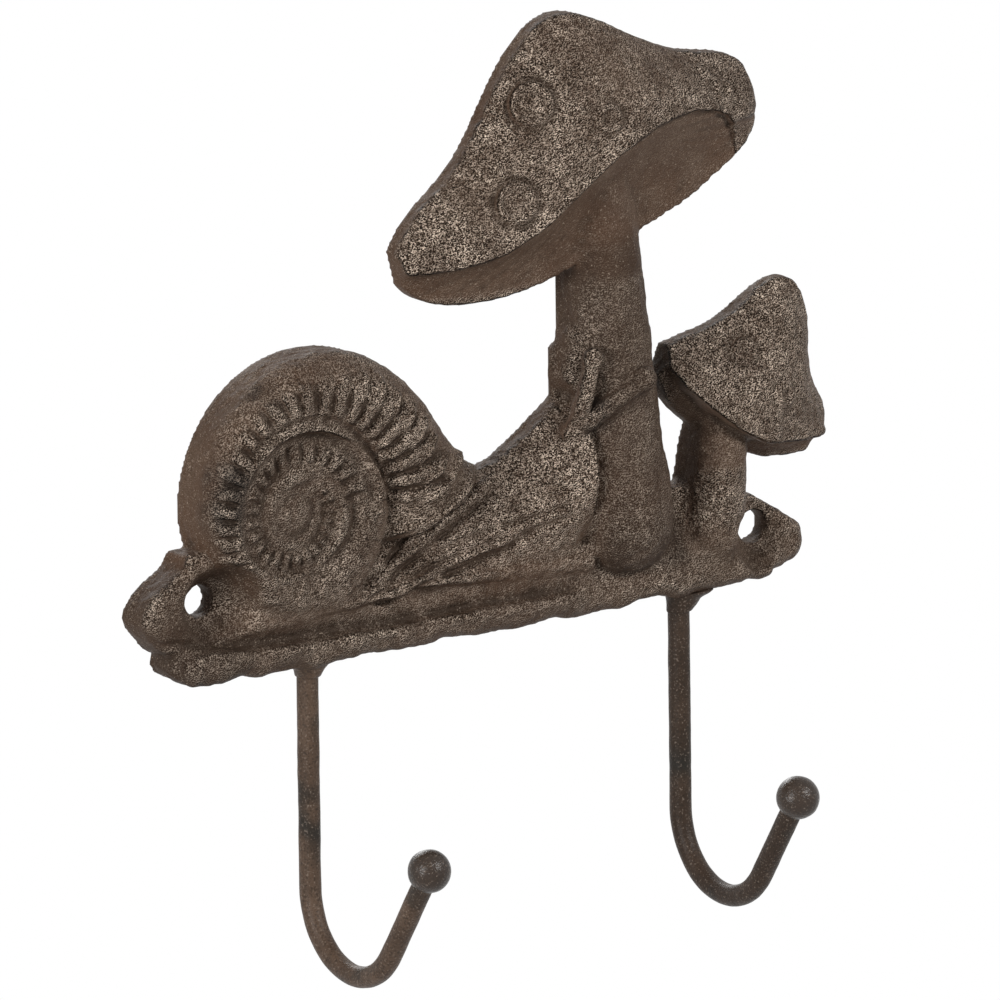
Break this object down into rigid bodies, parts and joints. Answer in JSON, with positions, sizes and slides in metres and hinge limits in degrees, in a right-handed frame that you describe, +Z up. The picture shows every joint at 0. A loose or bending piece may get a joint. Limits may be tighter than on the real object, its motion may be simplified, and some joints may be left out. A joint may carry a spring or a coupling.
{
  "type": "double wall hook",
  "caption": "Flat-backed cast-iron wall rack with a snail and mushrooms in relief, a screw hole in each end lug and ball-tipped rod hooks welded under its ledge.",
  "frame": {"origin": "on the wall plane, midway between the centres of the two screw holes", "axes": "+X to the right along the wall as seen from the front, +Y into the wall (the front faces -Y), +Z up"},
  "size_m": [0.1894, 0.0584, 0.208],
  "materials": {
    "casting": "antique dark brown, sand-cast grain, satin",
    "rods": "antique brown-black, satin",
    "balls": "antique brown-black, satin",
    "welds": "antique brown-black, satin"
  },
  "bodies": {
    "root": {"snail_mushroom_casting": "casting", "left_hook_rod": "rods", "right_hook_rod": "rods", "left_ball_tip": "balls", "right_ball_tip": "balls", "left_weld_bead": "welds", "right_weld_bead": "welds"}
  },
  "joints": []
}
